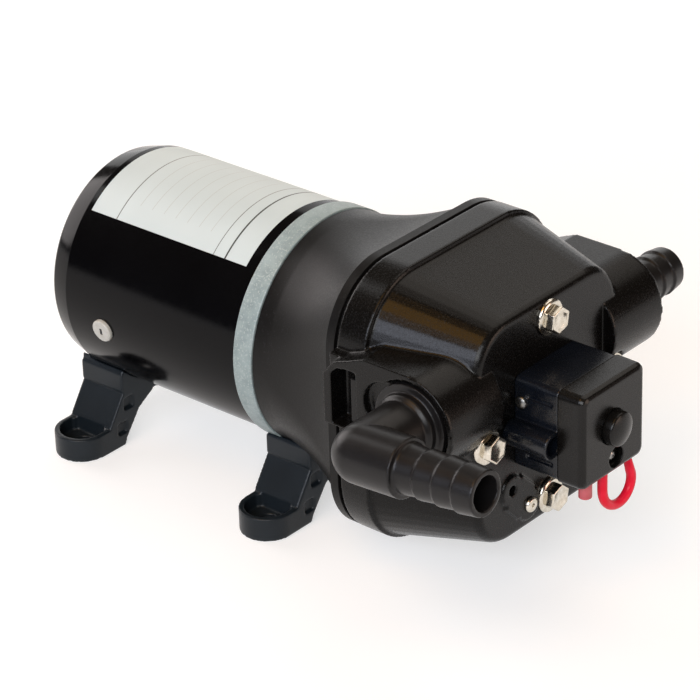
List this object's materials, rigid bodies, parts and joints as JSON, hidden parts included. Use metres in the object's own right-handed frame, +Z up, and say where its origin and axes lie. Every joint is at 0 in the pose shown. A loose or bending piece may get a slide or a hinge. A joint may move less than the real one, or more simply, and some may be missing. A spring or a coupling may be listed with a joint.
{
  "type": "caravan water pump",
  "caption": "Low voltage diaphragm water pump: round motor on saddle feet, flared drive housing, square pump head with side ports, barbed hose fittings and a pressure switch.",
  "frame": {"origin": "on the mounting plane under the feet, midway between the four foot holes", "axes": "+X along the motor axis towards the pump head, +Y to the side of the straight outlet, +Z up"},
  "size_m": [0.2195, 0.1623, 0.1032],
  "materials": {
    "black_paint": "gloss black paint on drawn steel",
    "pale_coated_steel": "pale coated steel",
    "bearing_steel": "ground bearing steel",
    "ferrite": "dark grey ferrite",
    "brown_board": "brown moulded phenolic",
    "carbon": "dark carbon",
    "spring_brass": "drawn bronze wire",
    "zinc_plate": "zinc coated steel, speckled and dull",
    "zinc_screw": "bright zinc coated steel, slightly yellow",
    "turned_steel": "turned steel",
    "lamination": "stacked steel sheet",
    "copper_wire": "enamelled copper wire",
    "copper_bars": "turned copper",
    "cam_metal": "machined light alloy",
    "wobble_metal": "die cast light alloy",
    "white_resin": "off-white moulded resin",
    "black_rubber": "soft black rubber",
    "warm_black_resin": "glass filled resin, warm dark grey with a satin speckle",
    "blue_black_resin": "moulded resin, bluish black",
    "cover_resin": "moulded resin, satin black",
    "fitting_resin": "moulded resin, dark grey",
    "clip_resin": "moulded resin, mid dark grey",
    "foot_rubber": "moulded rubber, dull black",
    "red_sheath": "red wire insulation",
    "button_resin": "red moulded resin",
    "terminal_metal": "tinned brass blade"
  },
  "bodies": {
    "frame": {"motor_can": "black_paint", "can_screws": "pale_coated_steel", "rear_bearing": "bearing_steel", "front_bearing": "bearing_steel", "magnets": "ferrite", "brush_plate": "brown_board", "brushes": "carbon", "brush_springs": "spring_brass", "end_plate": "zinc_plate", "plate_screws": "zinc_screw", "diaphragm": "black_rubber", "drive_housing": "warm_black_resin", "valve_plate": "white_resin", "inlet_valves": "black_rubber", "outlet_valve": "black_rubber", "head_seal": "black_rubber", "pump_head": "warm_black_resin", "head_bolts": "zinc_screw", "pad_screw": "zinc_screw", "switch_base": "blue_black_resin", "switch_screws": "zinc_screw", "base_screw": "zinc_screw", "switch_membrane": "black_rubber", "switch_retainer": "white_resin", "switch_spring": "turned_steel", "microswitch": "cover_resin", "switch_cover": "cover_resin", "cover_screw": "zinc_screw", "terminals": "terminal_metal", "terminal_sleeve": "red_sheath", "link_lead": "red_sheath", "front_foot": "foot_rubber", "rear_foot": "foot_rubber", "foot_screws": "zinc_screw"},
    "rotor": {"shaft": "turned_steel", "armature_core": "lamination", "windings": "copper_wire", "commutator": "copper_bars", "cam": "cam_metal", "inner_races": "bearing_steel"},
    "wobble": {"wobble_plate": "wobble_metal", "wobble_bearing": "bearing_steel", "pistons": "white_resin", "piston_screws": "zinc_screw"},
    "plunger_body": {"plunger": "white_resin"},
    "button": {"switch_button": "button_resin"},
    "adjuster_body": {"adjuster": "cover_resin"},
    "inlet": {"inlet_elbow": "fitting_resin", "inlet_rings": "black_rubber"},
    "outlet": {"outlet_tail": "fitting_resin", "outlet_rings": "black_rubber"},
    "inlet_lock": {"inlet_clip": "clip_resin"},
    "outlet_lock": {"outlet_clip": "clip_resin"}
  },
  "joints": [
    {"name": "rotor_spin", "type": "hinge", "parent": "frame", "child": "rotor", "pos_m": [0, 0, 0.056], "axis": [1, 0, 0], "continuous": true},
    {"name": "wobble_spin", "type": "hinge", "parent": "rotor", "child": "wobble", "pos_m": [0.08075, 0, 0.056], "axis": [0.9981, 0, -0.061], "continuous": true, "deforming": ["diaphragm"]},
    {"name": "plunger_slide", "type": "slide", "parent": "frame", "child": "plunger_body", "axis": [1, 0, 0], "range_m": [0, 0.0012], "stiffness_N_per_m": 2000, "springref_m": -0.001, "deforming": ["switch_spring"]},
    {"name": "button_press", "type": "slide", "parent": "frame", "child": "button", "axis": [1, 0, 0], "range_m": [0, 0.0012]},
    {"name": "adjuster_turn", "type": "hinge", "parent": "frame", "child": "adjuster_body", "pos_m": [0.15, -0.0021, 0.0588], "axis": [1, 0, 0], "range_deg": [-360, 360]},
    {"name": "inlet_swivel", "type": "hinge", "parent": "frame", "child": "inlet", "pos_m": [0.11405, -0.0535, 0.069], "axis": [0, -1, 0], "continuous": true},
    {"name": "outlet_swivel", "type": "hinge", "parent": "frame", "child": "outlet", "pos_m": [0.11405, 0.0535, 0.069], "axis": [0, 1, 0], "continuous": true},
    {"name": "inlet_clip_slide", "type": "slide", "parent": "frame", "child": "inlet_lock", "axis": [-1, 0, 0], "range_m": [0, 0.006]},
    {"name": "outlet_clip_slide", "type": "slide", "parent": "frame", "child": "outlet_lock", "axis": [-1, 0, 0], "range_m": [0, 0.006]}
  ],
  "couplings": [
    {"joint": "wobble_spin", "follows": "rotor_spin", "ratio": -1},
    {"joint": "button_press", "follows": "plunger_slide", "ratio": 1}
  ]
}
